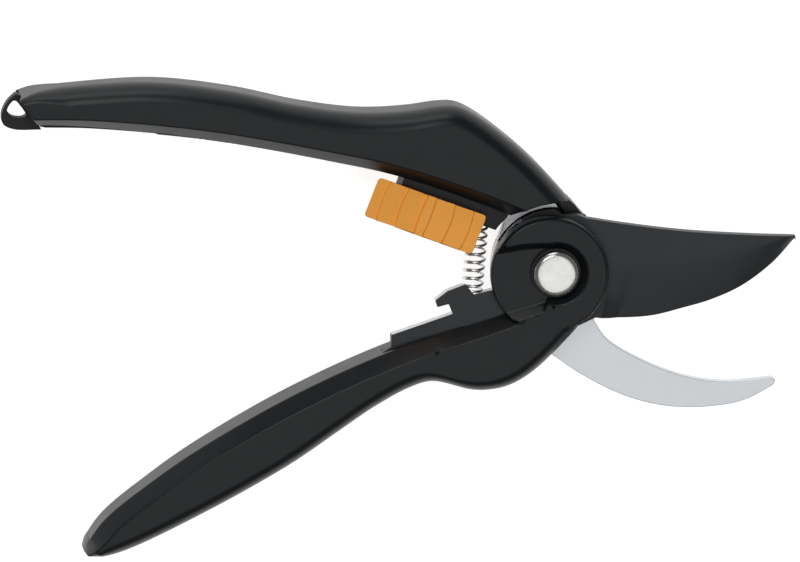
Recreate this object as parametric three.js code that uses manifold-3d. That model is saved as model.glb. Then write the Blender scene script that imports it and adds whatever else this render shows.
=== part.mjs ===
// Bypass pruning shears, open and lying on their back.
// Millimetres. +X runs along the blades, +Y towards the upper handle, +Z out of the front.
// The origin is on the pivot's axis, on the plane that the back rests on.
// The upper handle carries the hook and the lock, the lower handle carries the cutting blade.

import * as THREE from 'three';
import { mergeVertices } from 'three/addons/utils/BufferGeometryUtils.js';
import Module from 'manifold-3d';

const wasm = await Module();
wasm.setup();

// ---------------------------------------------------------------- driving dimensions

const GAP = 0.3; // clearance between pieces that touch
const PLATE_T = 3.0; // both blades are cut from plate of this thickness
const HOOK_Z = 6.3; // back face of the hook
const CUT_Z = HOOK_Z + PLATE_T + GAP; // back face of the cutting blade
const MID_Z = CUT_Z - GAP / 2; // shear plane between the blades
const HANDLE_T = 2 * MID_Z; // the handles at their thickest
const END_TAPER = 1.9; // how much each face of a handle falls away at its far end
const BOSS_DROP = 1.5; // how far a boss face lies below its handle's face

const EYE_R = 15.1; // round eye of the cutting blade
const HOOK_EYE_R = 15.4; // round eye of the hook
const SWEEP_R = 18.3; // handles are cut back to this radius around the other handle's boss
const BOSS_R = 14.75;
const BOSS_X = -1.45; // the front boss sits a little off the pivot's axis
const BOSS_Y = -0.45;
const RECESS_R = 8.0; // recess around the bolt head
const RECESS_DEPTH = 2.2;
const RECESS_Z = HANDLE_T - BOSS_DROP - RECESS_DEPTH; // floor of the recess

const UPPER_ROUND = 5; // how far the outer edges are rounded in plan
const LOWER_ROUND = 4.5;
const ROUND_DEEP = 6.5; // and how deep
const CHAMFER = 3.3; // the flat along the inner edges, in plan
const CHAMFER_DEEP = 4.5;
const PROUD = 0.15; // an edge cutter starts this far outside the faces that it meets

const SHANK_R = 3.0; // M6 pivot bolt
const HEAD_R = 5.65;
const HEAD_RIM = 1.1; // straight part of the bolt head's side
const HEAD_CHAMFER = 0.4;
const HEAD_CROWN_R = 3.2;
const HEAD_CROWN = 0.45; // how far the crown stands above the chamfer
const BUSH_R = 4.0;
const NUT_FLATS = 11;
const NUT_TOP_Z = 3.6;
const NUT_FLOOR = 1.0; // closed back of the nut
const WASHER_T = 0.6;
const HEAD_WASHER_R = 6.3;
const NUT_WASHER_R = 5.1;

const INSERT_Z = 4.9; // back face of the core inserts
const INSERT_T = 8.6;
const INSERT_TOP_Z = INSERT_Z + INSERT_T;
const LOOP_TRIM = 1.5; // the hanging loop is this much thinner on each face

const LOCK_ANGLE = -21.4; // direction of the lock's travel, degrees
const LOCK_X = -32.8; // middle of the lock slider
const LOCK_Y = 15.4;
const LOCK_TRAVEL = 4;
const SLIDER_L = 29.2;
const SLIDER_H = 10.6;
const SLIDER_CORNER = 1;
const CHEEK_T = 2.0;
const CHEEK_GAP = 0.4; // between a cheek and the rail
const SLIDER_WALL = 2.2;
const SLIDER_FLOOR = 1.5;
const TOOTH_S = 3.4; // front end of the floor that drops into the blade's notch
const LEAN_EDGE = 0.3; // upright edge left on the front cheek before its walls lean in
const LEAN_TOP = 0.18; // lean of the slider's top wall, per millimetre of depth
const LEAN_END = 0.2; // and of its left wall
const END_WALL_Z = 7.6; // the left wall stops here, short of the back cheek
const NUB_R = 0.8; // a nub inside the front cheek runs in a slot of the rail
const NUB_PLACE = [-0.5, 2.6]; // along and across the lock's travel
const NUB_DEEP = 1.2; // how far the nub reaches into the slot
const RAIL_LEFT = -8.1;
const RAIL_RIGHT = 20;
const RAIL_TOP = 9.4;
const RAIL_DEEP = 0.2; // bottom of the rail where the slider hides it
const RAIL_SHALLOW = 2.2; // and over the opening spring

const RETURN_R = 1.0; // return spring of the lock
const RETURN_WIRE_R = 0.22;
const RETURN_TURNS = 6;
const RETURN_T = 2.8; // its place across the lock's travel
const RETURN_BORE_R = 1.6;
const RETURN_BORE_END = -2.1;
const RETURN_SLACK = 0.6; // left free at each end of the return spring

const SPRING_Z = 8.9; // axis of the opening spring
const SPRING_R = 2.4; // centreline radius of its coil
const SPRING_WIRE_R = 0.42;
const SPRING_FOOT = [-20.2, -5.9];
const SPRING_HEAD = [-18.4, 16.4];
const SPRING_TURNS = 9.5;
const POCKET_R = SPRING_R + SPRING_WIRE_R + GAP;

const PIN_R = 1.5; // pins that hold the tangs in the handles
const PIN_END = 3.4; // their ends lie this far inside the handles' faces

const BELOW = -1; // through cuts run from below the rest plane
const ABOVE = 30; // to above the front

// ---------------------------------------------------------------- outlines, in plan

const UPPER_TOP = [
  [-134.4, 47.6], [-130.3, 49.1], [-119.2, 50.2], [-100.1, 50.7], [-80.9, 48], [-63.6, 43.9],
  [-48.7, 41.7], [-36.6, 41.9], [-28.7, 42.9], [-24.8, 42.8], [-20.5, 40.9], [-7.1, 30.1],
  [5.6, 15.9],
];
const UPPER_TOP_START = [-135.8, 46.9]; // the edge cutters start past each corner
const UPPER_NOSE = [8.5, 12.1];
const UPPER_INNER = [
  [-38.8, 25.2], [-56.2, 29.6], [-87.1, 35.9], [-116, 39.4], [-129.2, 40],
];
const UPPER_INNER_END = [-10.5, 14.3];
const UPPER_INNER_START = [-132.4, 39.8];

const LOWER_INNER = [
  [-118.8, -68.2], [-113.6, -60.9], [-101.5, -51.2], [-89.9, -43.3], [-66.8, -30.4],
  [-40.7, -19.1], [-12.7, -10.8],
];
const LOWER_INNER_START = [-120.8, -71.6];
const LOWER_OUTER = [
  [-114.9, -70.4], [-109.1, -69.3], [-90, -60.6], [-66.9, -48], [-54.2, -39.5], [-45.2, -33.5],
  [-36.2, -28.8], [-30.8, -27.5], [-21, -30.1], [-16.9, -30.4], [-11.5, -29.5], [-5.6, -26.3],
  [4.3, -16.9], [10, -9.9],
];
const LOWER_OUTER_START = [-118.9, -70.9];
const LOWER_TIP = [-117.5, -69.9];

const HOOK_INNER = [
  [10.8, -14.3], [14, -19], [23.2, -24.8], [33.5, -29], [43.8, -30.8], [56.1, -30.1],
];
const HOOK_TIP = [56.9, -30.9];
const HOOK_OUTER = [
  [56.2, -32.1], [48.6, -35.8], [38.3, -37.2], [28, -36.5], [17.7, -33.4], [7.5, -27.9],
  [0.2, -22.7], [-7, -17.4],
];
const HOOK_TANG = [
  [-13.9, 7], [-12.2, 11.6], [-13.5, 15.8], [-17, 21], [-25.1, 26.8], [-37.2, 31.4],
  [-39.2, 32.9], [-38.8, 36.8], [-37.2, 37.6], [-24.1, 36.2], [-11, 27], [1, 16.2],
  [2.8, 13.3],
];

const BLADE_SPINE = [
  [8.2, 13], [17.3, 11.3], [32.7, 9], [50, 7.5], [61.2, 6.9],
];
const BLADE_EDGE = [
  [61.4, 6.1], [55.8, -0.1], [48.1, -5.8], [40.4, -9.2], [32.6, -11.3], [24.8, -13], [15.1, -13.2],
  [10.6, -12.6],
];
const BLADE_TANG = [
  [2.7, -16.2], [-5.3, -21.2], [-11.4, -24], [-29.5, -23.6], [-45.6, -28.7], [-50.7, -29.4],
  [-51.7, -27.6], [-47.7, -23], [-41, -18.6], [-41, -15.6], [-25.5, -10.6], [-26.5, -8.1],
  [-29.4, -8.8], [-29.9, -7], [-26.8, -4.7], [-22.3, -3.1], [-20.2, -5.8], [-14.4, -4.5],
];
const BLADE_SHOULDER = [[0, 4], [9, 4], [8.2, 13], [6.2, 13.9], [1.2, 13.9], [-3.3, 13.6]];
// Both eyes are flat where the jaw opens, so that they stay behind the boss and the blade.
const EYE_RELIEF = [
  [11, -10.5], [20, 2], [20, 30], [1.2, 30], [1.2, 14.6], [2.7, 13.5], [6, 13.4], [8, 12.5],
  [13.6, 6],
];
const HOOK_RELIEF = [[20, -2], [20, 30], [1.1, 30], [1.1, 15.8], [2.9, 13.1], [7.5, 11.5], [13, 6]];

const LOOP_OUTER = [
  [-128.4, 38.9], [-135.5, 39.2], [-138, 40.5], [-138.4, 42.9], [-137.1, 46], [-134.8, 48.3],
];
const LOOP_HOLE = [
  [-132.1, 42.7], [-133.1, 42.1], [-135.7, 42.4], [-137, 43.8], [-136.2, 45.7],
  [-135.1, 46.5], [-133.6, 45],
];
const LOOP_BOX = [[-150, 32.9], [-129.3, 32.3], [-134.4, 50.9], [-150, 51.3]];
const UPPER_INSERT_TOP = [
  [-130.9, 46.1], [-119.8, 46], [-100.6, 45.3], [-81.5, 42.7], [-55.3, 37.6], [-39.2, 34.5],
  [-23.1, 27.3], [-12.5, 17.4],
];
const LOWER_INSERT = [
  [-109.2, -60.2], [-101.5, -55.1], [-89.9, -47.8], [-66.8, -35.2], [-44.2, -25.1],
  [-44.2, -21.2], [-66.8, -31.3], [-89.9, -44], [-101.5, -51.8], [-109.2, -58.2],
];
const RECESS_CHANNEL = [
  [1, 7.7], [-24, 6.4], [-24, -15.3], [-15.2, -13.3], [-2.6, -8.8], [1, -6],
];
const FRONT_OPENING = [[-0.2, 18.5], [5.6, 17.8], [30, 17.8], [30, -30], [-0.2, -30]];

// Joins the back boss to the upper handle, clear of the lock at the end of its travel.
const BACK_NECK = [[-11.5, 9], [-12.9, 14.5], [-16, 17.8], [3.2, 18.2], [9.6, 11.2]];

// Fills the nose beside the hook's tang, behind the cutting blade.
const NOSE = [[0.8, 18.8], [3, 18.3], [5.7, 15.8], [8.4, 12.3], [3.4, 13.2], [1.4, 16]];

const HOOK_PINS = [[-8.5, 21.3], [-31.1, 33.1]];
const BLADE_PINS = [[-12.4, -20], [-36.6, -23.2]];

// ---------------------------------------------------------------- shapes

// A closed three.js geometry as a solid that can be joined and cut.
function solid(geometry) {
  const bare = geometry.index ? geometry.toNonIndexed() : geometry.clone();
  bare.deleteAttribute('normal');
  bare.deleteAttribute('uv');
  const merged = mergeVertices(bare, 1e-4);
  return new wasm.Manifold(new wasm.Mesh({
    numProp: 3,
    vertProperties: merged.attributes.position.array,
    triVerts: new Uint32Array(merged.index.array),
  }));
}

// Evenly spaced points on a smooth curve through the given ones.
function smooth(points, steps) {
  const through = points.map(([x, y]) => new THREE.Vector3(x, y, 0));
  const curve = new THREE.CatmullRomCurve3(through, false, 'centripetal');
  return curve.getSpacedPoints(steps).map((p) => [p.x, p.y]);
}

// Points on a circle, with its angles in degrees.
function arc(x, y, r, from, to, steps) {
  return Array.from({ length: steps + 1 }, (_, i) => {
    const a = THREE.MathUtils.degToRad(from + ((to - from) * i) / steps);
    return [x + r * Math.cos(a), y + r * Math.sin(a)];
  });
}

// An outline drawn up from z0 to z1, and grown all round to leave clearance for another piece.
function prism(points, z0, z1, grow = 0) {
  const shape = new THREE.Shape(points.map(([x, y]) => new THREE.Vector2(x, y)));
  const geometry = new THREE.ExtrudeGeometry(shape, {
    depth: z1 - z0,
    bevelEnabled: grow > 0,
    bevelThickness: grow,
    bevelSize: grow,
    bevelSegments: 1,
  });
  return solid(geometry.translate(0, 0, z0));
}

function cylinder(r, z0, z1, x = 0, y = 0, segments = 48) {
  const geometry = new THREE.CylinderGeometry(r, r, z1 - z0, segments);
  return solid(geometry.rotateX(Math.PI / 2).translate(x, y, (z0 + z1) / 2));
}

function throughHole(r, segments = 48) {
  return cylinder(r, BELOW, ABOVE, 0, 0, segments);
}

function ring(outer, inner, z0, z1) {
  return cylinder(outer, z0, z1).subtract(throughHole(inner));
}

function hexagon(flat, z0, z1) {
  return prism(arc(0, 0, flat / Math.cos(Math.PI / 6), 0, 300, 5), z0, z1);
}

// A coil of round wire from one point to another at one height.
function coil(foot, head, z, radius, wire, turns) {
  const from = new THREE.Vector3(foot[0], foot[1], z);
  const axis = new THREE.Vector3(head[0], head[1], z).sub(from);
  const side = new THREE.Vector3(0, 0, 1);
  const across = new THREE.Vector3().crossVectors(side, axis).normalize();
  const stepsPerTurn = 10;
  const points = [];
  for (let i = 0; i <= turns * stepsPerTurn; i += 1) {
    const a = (2 * Math.PI * i) / stepsPerTurn;
    const along = i / (turns * stepsPerTurn);
    points.push(from.clone()
      .addScaledVector(axis, along)
      .addScaledVector(across, radius * Math.cos(a))
      .addScaledVector(side, radius * Math.sin(a)));
  }
  const section = new THREE.Shape(
    arc(0, 0, wire, 0, 288, 4).map(([x, y]) => new THREE.Vector2(x, y)),
  );
  return solid(new THREE.ExtrudeGeometry(section, {
    steps: turns * stepsPerTurn,
    extrudePath: new THREE.CatmullRomCurve3(points),
  }));
}

// ---------------------------------------------------------------- handles

// How far the handles' faces have come in towards the shear plane at x.
function endTaper(x) {
  const t = THREE.MathUtils.clamp((-60 - x) / 75, 0, 1);
  return END_TAPER * t * t;
}

function bossDrop(x) {
  return BOSS_DROP * THREE.MathUtils.smoothstep(x, -40, -14);
}

// Height of a handle's front or back face at x; the boss side is the one that drops to the boss.
function faceZ(x, up, bossUp) {
  const drop = endTaper(x) + (up === bossUp ? bossDrop(x) : 0);
  return MID_Z + up * (HANDLE_T / 2 - drop);
}

// The handle's outline seen from its edge, drawn across the whole width.
function sideProfile(bossUp) {
  const xs = Array.from({ length: 26 }, (_, i) => -145 + 7 * i);
  const front = xs.map((x) => [x, faceZ(x, 1, bossUp)]);
  const back = xs.map((x) => [x, faceZ(x, -1, bossUp)]).reverse();
  const shape = new THREE.Shape([...back, ...front].map(([x, z]) => new THREE.Vector2(x, z)));
  const geometry = new THREE.ExtrudeGeometry(shape, { depth: 140, bevelEnabled: false });
  return solid(geometry.rotateX(Math.PI / 2).translate(0, 60, 0));
}

// What a rounded edge takes off, as [out, up] from the sharp corner.
function roundSection(out, deep) {
  const quarter = [0, 1, 2, 3].map((i) => {
    const a = (i / 3) * (Math.PI / 2);
    return [out * (Math.cos(a) - 1) + PROUD, deep * (Math.sin(a) - 1) + PROUD];
  });
  return [...quarter, [-out, 2], [2, 2], [2, -deep]];
}

function flatSection(out, deep) {
  return [[PROUD, -deep], [-out, PROUD], [-out, 2], [2, 2], [2, -deep]];
}

// Takes a section off a handle's front and back edges along a curve. side is 1 where outside is
// on the left of the curve's direction.
function edgeCutters(points, side, bossUp, section) {
  return [1, -1].map((up) => {
    const path = new THREE.CatmullRomCurve3(
      points.map(([x, y]) => new THREE.Vector3(x, y, faceZ(x, up, bossUp))),
      false,
      'centripetal',
    );
    const corner = new THREE.Shape(
      section.map(([out, rise]) => new THREE.Vector2(-rise * up, out * side)),
    );
    return solid(new THREE.ExtrudeGeometry(corner, { steps: 20, extrudePath: path }));
  });
}

function cutAll(body, cutters) {
  return cutters.reduce((left, cutter) => left.subtract(cutter), body);
}

// ---------------------------------------------------------------- blades

function hookPlan() {
  return [
    ...smooth(HOOK_INNER, 16),
    HOOK_TIP,
    ...smooth(HOOK_OUTER, 18),
  ];
}

function hookBody(z0, z1, grow = 0) {
  const jaw = prism([...hookPlan(), [-6, -4], [6, 4]], z0, z1, grow);
  const tang = prism([...HOOK_TANG, [4, 4], [-8, 0]], z0, z1, grow);
  return cylinder(HOOK_EYE_R + grow, z0 - grow, z1 + grow, 0, 0, 52)
    .subtract(prism(HOOK_RELIEF, BELOW, ABOVE))
    .add(jaw)
    .add(tang);
}

function bladeBody(z0, z1, grow = 0) {
  const plan = [...smooth(BLADE_SPINE, 10), ...smooth(BLADE_EDGE, 14), ...BLADE_TANG];
  const topCorner = [-4, 12];
  const plate = prism([...plan, topCorner], z0, z1, grow);
  const shoulder = prism(BLADE_SHOULDER, z0, z1, grow);
  return cylinder(EYE_R + grow, z0 - grow, z1 + grow, 0, 0, 52)
    .subtract(prism(EYE_RELIEF, BELOW, ABOVE))
    .add(plate)
    .add(shoulder);
}

function tangPins(places, grow = 0) {
  const top = HANDLE_T - PIN_END + grow;
  return places.map(([x, y]) => cylinder(PIN_R + grow, PIN_END - grow, top, x, y, 20));
}

function hookBlade() {
  const body = hookBody(HOOK_Z, HOOK_Z + PLATE_T);
  return cutAll(body, [throughHole(BUSH_R + GAP), ...tangPins(HOOK_PINS, GAP)]);
}

// The round pocket that the opening spring stands in, along its own axis.
function springPocket(from, to) {
  const axis = new THREE.Vector2(SPRING_HEAD[0] - SPRING_FOOT[0], SPRING_HEAD[1] - SPRING_FOOT[1]);
  const length = axis.length() * (to - from);
  const geometry = new THREE.CylinderGeometry(POCKET_R, POCKET_R, length, 32);
  const middle = (from + to) / 2;
  return solid(geometry
    .rotateZ(Math.atan2(axis.y, axis.x) - Math.PI / 2)
    .translate(SPRING_FOOT[0] + axis.x * middle, SPRING_FOOT[1] + axis.y * middle, SPRING_Z));
}

function cuttingBlade() {
  const body = bladeBody(CUT_Z, CUT_Z + PLATE_T);
  return cutAll(body, [
    throughHole(BUSH_R + GAP),
    springPocket(-0.035, 0.4),
    ...tangPins(BLADE_PINS, GAP),
  ]);
}

// ---------------------------------------------------------------- core inserts

// Turns a shape drawn along the lock's travel [s] and across it [t] to its place.
function atLock(shape) {
  return shape.rotate([0, 0, LOCK_ANGLE]).translate([LOCK_X, LOCK_Y, 0]);
}

// The rail that the lock slides on: deep where the slider hides it, shallow over the spring.
function rail(grow = 0) {
  const ramp = TOOTH_S + RAIL_SHALLOW - RAIL_DEEP;
  const plan = [
    [RAIL_LEFT, RAIL_TOP], [RAIL_LEFT, RAIL_DEEP], [TOOTH_S, RAIL_DEEP], [ramp, RAIL_SHALLOW],
    [RAIL_RIGHT, RAIL_SHALLOW], [RAIL_RIGHT, RAIL_TOP],
  ];
  return atLock(prism(plan, INSERT_Z, INSERT_TOP_Z, grow));
}

function upperInsertBlank(grow = 0) {
  const plan = [
    ...smooth(LOOP_OUTER, 12).reverse(),
    ...smooth(UPPER_INNER, 14).reverse(),
    UPPER_INNER_END,
    ...smooth(UPPER_INSERT_TOP, 16).reverse(),
  ];
  return prism(plan, INSERT_Z, INSERT_TOP_Z, grow).add(rail(grow));
}

function nubSlot() {
  const half = NUB_R + GAP;
  const [from, to] = [NUB_PLACE[0] - half, NUB_PLACE[0] + LOCK_TRAVEL + half];
  const [low, high] = [NUB_PLACE[1] - half, NUB_PLACE[1] + half];
  const floor = INSERT_TOP_Z - NUB_DEEP - GAP;
  return prism([[from, low], [to, low], [to, high], [from, high]], floor, ABOVE);
}

function returnBore() {
  const from = -SLIDER_L / 2;
  const length = RETURN_BORE_END - from;
  return solid(new THREE.CylinderGeometry(RETURN_BORE_R, RETURN_BORE_R, length, 20)
    .rotateZ(Math.PI / 2)
    .translate(from + length / 2, RETURN_T, INSERT_Z + INSERT_T / 2));
}

function upperInsert() {
  return cutAll(upperInsertBlank(), [
    prism(LOOP_BOX, INSERT_TOP_Z - LOOP_TRIM, ABOVE),
    prism(LOOP_BOX, BELOW, INSERT_Z + LOOP_TRIM),
    prism(smooth([...LOOP_HOLE, LOOP_HOLE[0]], 20).slice(0, -1), BELOW, ABOVE),
    atLock(nubSlot()),
    atLock(returnBore()),
    springPocket(0.2, 1.02),
    hookBody(HOOK_Z, HOOK_Z + PLATE_T, GAP),
    throughHole(SWEEP_R, 52),
    ...tangPins(HOOK_PINS, GAP),
  ]);
}

function lowerInsertBlank(grow = 0) {
  return prism(LOWER_INSERT, INSERT_Z, INSERT_TOP_Z, grow);
}

function lowerInsert() {
  return lowerInsertBlank().subtract(bladeBody(CUT_Z, CUT_Z + PLATE_T, GAP));
}

// ---------------------------------------------------------------- handle mouldings

function upperHandle() {
  const plan = [
    ...smooth(UPPER_TOP, 32), UPPER_NOSE, [0, 0], UPPER_INNER_END, ...smooth(UPPER_INNER, 14),
  ];
  const topRun = [UPPER_TOP_START, ...UPPER_TOP];
  const innerRun = [UPPER_INNER_END, ...UPPER_INNER, UPPER_INNER_START];
  const handle = cutAll(prism(plan, BELOW, ABOVE).intersect(sideProfile(-1)), [
    ...edgeCutters(topRun, 1, -1, roundSection(UPPER_ROUND, ROUND_DEEP)),
    ...edgeCutters(innerRun, 1, -1, flatSection(CHAMFER, CHAMFER_DEEP)),
    throughHole(SWEEP_R, 52),
    prism(FRONT_OPENING, MID_Z, ABOVE),
  ]);
  const backBoss = cylinder(BOSS_R, BOSS_DROP, HOOK_Z, 0, 0, 52)
    .add(prism(BACK_NECK, BOSS_DROP, HOOK_Z))
    .add(prism(NOSE, BOSS_DROP, HOOK_Z + PLATE_T));
  return cutAll(handle.add(backBoss), [
    hexagon(NUT_FLATS / 2 + GAP, BELOW, NUT_TOP_Z + 2 * GAP + WASHER_T),
    throughHole(SHANK_R + GAP),
    hookBody(HOOK_Z, HOOK_Z + PLATE_T, GAP),
    upperInsertBlank(GAP),
    ...tangPins(HOOK_PINS, GAP),
  ]);
}

// Front recess: round about the bolt, and open towards the handle's inner side.
function boltRecess() {
  return cylinder(RECESS_R, RECESS_Z, ABOVE).add(prism(RECESS_CHANNEL, RECESS_Z, ABOVE));
}

function lowerHandle() {
  const plan = [
    ...smooth(LOWER_OUTER, 32), [0, 0], ...smooth([...LOWER_INNER].reverse(), 18), LOWER_TIP,
  ];
  const outerRun = [LOWER_OUTER_START, ...LOWER_OUTER];
  const innerRun = [LOWER_INNER_START, ...LOWER_INNER.slice(0, -1)];
  const handle = cutAll(prism(plan, BELOW, ABOVE).intersect(sideProfile(1)), [
    ...edgeCutters(outerRun, -1, 1, roundSection(LOWER_ROUND, ROUND_DEEP)),
    ...edgeCutters(innerRun, 1, 1, flatSection(CHAMFER, CHAMFER_DEEP)),
    cylinder(SWEEP_R, BELOW, CUT_Z, 0, 0, 52),
  ]);
  const frontBoss = cylinder(BOSS_R, CUT_Z + PLATE_T, HANDLE_T - BOSS_DROP, BOSS_X, BOSS_Y, 52);
  return cutAll(handle.add(frontBoss), [
    boltRecess(),
    throughHole(SHANK_R + GAP),
    bladeBody(CUT_Z, CUT_Z + PLATE_T, GAP),
    hookBody(HOOK_Z, HOOK_Z + PLATE_T, GAP),
    lowerInsertBlank(GAP),
    ...tangPins(BLADE_PINS, GAP),
  ]);
}

// ---------------------------------------------------------------- pivot

function pivotBolt() {
  const endZ = NUT_FLOOR + GAP;
  const headZ = RECESS_Z + WASHER_T + 2 * GAP;
  const shoulderZ = headZ + HEAD_RIM + HEAD_CHAMFER;
  const profile = [
    [0, endZ], [SHANK_R - HEAD_CHAMFER, endZ], [SHANK_R, endZ + HEAD_CHAMFER],
    [SHANK_R, headZ], [HEAD_R, headZ], [HEAD_R, headZ + HEAD_RIM],
    [HEAD_R - HEAD_CHAMFER, shoulderZ], [HEAD_CROWN_R, shoulderZ + 0.8 * HEAD_CROWN],
    [0, shoulderZ + HEAD_CROWN],
  ];
  const points = profile.map(([r, z]) => new THREE.Vector2(r, z));
  return solid(new THREE.LatheGeometry(points, 48).rotateX(Math.PI / 2));
}

function pivotNut() {
  return hexagon(NUT_FLATS / 2, 0, NUT_TOP_Z)
    .subtract(cylinder(SHANK_R + GAP, NUT_FLOOR, NUT_TOP_Z + 1));
}

// ---------------------------------------------------------------- lock

function roundedBox(length, height, r) {
  const [x, y] = [length / 2 - r, height / 2 - r];
  return [
    ...arc(x, y, r, 0, 90, 3), ...arc(-x, y, r, 90, 180, 3),
    ...arc(-x, -y, r, 180, 270, 3), ...arc(x, -y, r, 270, 360, 3),
  ];
}

function lockSlider() {
  const inside = [INSERT_Z - CHEEK_GAP, INSERT_TOP_Z + CHEEK_GAP];
  const outside = [inside[0] - CHEEK_T, inside[1] + CHEEK_T];
  const block = prism(roundedBox(SLIDER_L, SLIDER_H, SLIDER_CORNER), outside[0], outside[1]);
  const left = SLIDER_WALL - SLIDER_L / 2;
  const floorTop = SLIDER_FLOOR - SLIDER_H / 2;
  const far = SLIDER_L; // outside the block on every side
  const hollow = prism([
    [left, floorTop], [TOOTH_S, floorTop], [TOOTH_S, -far], [far, -far], [far, far], [left, far],
  ], inside[0], inside[1]);
  const backGap = prism([[-far, floorTop], [left, floorTop], [left, far], [-far, far]],
    inside[0], END_WALL_Z);
  // The top and left walls lean in towards the back.
  const [front, back] = [outside[1] - LEAN_EDGE, outside[0] - 1];
  const rise = front - back;
  const [top, end] = [SLIDER_H / 2, SLIDER_L / 2];
  const topWedge = prism([
    [top, front], [far, front], [far, back], [top - rise * LEAN_TOP, back],
  ], -far, far).rotate([90, 0, 90]);
  const endWedge = prism([
    [-end, front], [rise * LEAN_END - end, back], [-far, back], [-far, front],
  ], -far, far).rotate([90, 0, 0]);
  const nub = cylinder(NUB_R, INSERT_TOP_Z - NUB_DEEP, inside[1] + CHEEK_T / 4, ...NUB_PLACE, 16);
  return atLock(cutAll(block, [hollow, backGap, topWedge, endWedge]).add(nub));
}

function lockReturnSpring() {
  const from = [SLIDER_WALL - SLIDER_L / 2 + RETURN_SLACK, RETURN_T];
  const to = [RETURN_BORE_END - RETURN_SLACK, RETURN_T];
  const z = INSERT_Z + INSERT_T / 2;
  return atLock(coil(from, to, z, RETURN_R, RETURN_WIRE_R, RETURN_TURNS));
}

// ---------------------------------------------------------------- assembly

const finish = (color, roughness, metalness) => ({ color, roughness, metalness });
const FINISHES = {
  handle: finish(0x2f3437, 0.5, 0),
  insert: finish(0x3a3b3c, 0.6, 0),
  coated: finish(0x33363a, 0.55, 0.2),
  steel: finish(0xc8cdd2, 0.35, 1),
  bright: finish(0xd8dade, 0.2, 1),
  orange: finish(0xe39a40, 0.45, 0),
};

const shears = new THREE.Group();

function addPiece(name, body, look) {
  const mesh = body.getMesh();
  const geometry = new THREE.BufferGeometry();
  geometry.setAttribute('position', new THREE.BufferAttribute(mesh.vertProperties, 3));
  geometry.setIndex(new THREE.BufferAttribute(mesh.triVerts, 1));
  const piece = new THREE.Mesh(geometry, new THREE.MeshStandardMaterial(FINISHES[look]));
  piece.name = name;
  shears.add(piece);
}

addPiece('upper_handle', upperHandle(), 'handle');
addPiece('upper_insert', upperInsert(), 'insert');
addPiece('hook_blade', hookBlade(), 'steel');
addPiece('lower_handle', lowerHandle(), 'handle');
addPiece('lower_insert', lowerInsert(), 'insert');
addPiece('cutting_blade', cuttingBlade(), 'coated');
addPiece('pivot_bolt', pivotBolt(), 'bright');
addPiece('pivot_bush', ring(BUSH_R, SHANK_R + GAP, HOOK_Z, CUT_Z + PLATE_T), 'steel');
addPiece('pivot_nut', pivotNut(), 'steel');

const washerAt = (r, z) => ring(r, SHANK_R + GAP, z + GAP, z + GAP + WASHER_T);
addPiece('head_washer', washerAt(HEAD_WASHER_R, RECESS_Z), 'coated');
addPiece('nut_washer', washerAt(NUT_WASHER_R, NUT_TOP_Z), 'steel');

tangPins(HOOK_PINS).forEach((pin, i) => addPiece(`hook_tang_pin_${i + 1}`, pin, 'steel'));
tangPins(BLADE_PINS).forEach((pin, i) => addPiece(`blade_tang_pin_${i + 1}`, pin, 'steel'));

addPiece('opening_spring',
  coil(SPRING_FOOT, SPRING_HEAD, SPRING_Z, SPRING_R, SPRING_WIRE_R, SPRING_TURNS), 'bright');
addPiece('lock_slider', lockSlider(), 'orange');
addPiece('lock_return_spring', lockReturnSpring(), 'bright');

export default shears;
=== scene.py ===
import math

import bmesh
import bpy
from bpy.props import FloatProperty, FloatVectorProperty, PointerProperty
from mathutils import Matrix, Vector
from mathutils.geometry import interpolate_bezier


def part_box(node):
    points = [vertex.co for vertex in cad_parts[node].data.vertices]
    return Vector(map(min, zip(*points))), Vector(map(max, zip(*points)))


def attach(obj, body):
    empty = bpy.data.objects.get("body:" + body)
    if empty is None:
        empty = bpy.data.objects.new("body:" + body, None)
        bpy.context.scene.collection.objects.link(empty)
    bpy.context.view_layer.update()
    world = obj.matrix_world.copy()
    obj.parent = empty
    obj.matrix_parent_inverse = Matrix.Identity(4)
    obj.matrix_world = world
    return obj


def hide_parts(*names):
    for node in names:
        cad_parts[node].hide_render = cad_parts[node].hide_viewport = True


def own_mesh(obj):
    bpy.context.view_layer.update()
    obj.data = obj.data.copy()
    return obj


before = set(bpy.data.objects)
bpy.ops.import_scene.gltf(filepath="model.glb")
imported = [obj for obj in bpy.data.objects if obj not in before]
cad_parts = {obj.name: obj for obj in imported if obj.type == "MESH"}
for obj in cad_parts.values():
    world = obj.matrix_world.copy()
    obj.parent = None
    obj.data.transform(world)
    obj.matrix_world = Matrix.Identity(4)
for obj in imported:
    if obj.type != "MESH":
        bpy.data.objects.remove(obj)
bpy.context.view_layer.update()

bl_info = {
    "name": "Bypass Pruning Shears",
    "version": (1, 0, 0),
    "blender": (4, 5, 0),
    "location": "3D View > Sidebar > Shears",
    "description": "Builds a pair of bypass pruning shears on its fixed frame",
    "category": "Object",
}

MM = 0.001
GAP = 0.3 * MM
HANDLE_LOW, HANDLE_HIGH = (corner.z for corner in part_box("lower_handle"))
HOOK_LOW, HOOK_HIGH = (corner.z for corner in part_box("hook_blade"))
CUT_LOW, CUT_HIGH = (corner.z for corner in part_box("cutting_blade"))
CORE_LOW, CORE_HIGH = (corner.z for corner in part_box("upper_insert"))
LOCK_LOW, LOCK_HIGH = (corner.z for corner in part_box("lock_slider"))
BOLT_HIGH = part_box("pivot_bolt")[1]
NUT_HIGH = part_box("pivot_nut")[1]
WASHER_LOW, WASHER_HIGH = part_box("head_washer")
MID_Z = (HANDLE_LOW + HANDLE_HIGH) / 2
END_TAPER = 1.9 * MM
BOSS_DROP = 1.5 * MM
BOSS_HIGH = HANDLE_HIGH - BOSS_DROP
RECESS_FLOOR = WASHER_LOW.z - GAP
EYE_R = 15.1 * MM
HOOK_EYE_R = 15.4 * MM
SWEEP_R = 18.3 * MM
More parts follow.
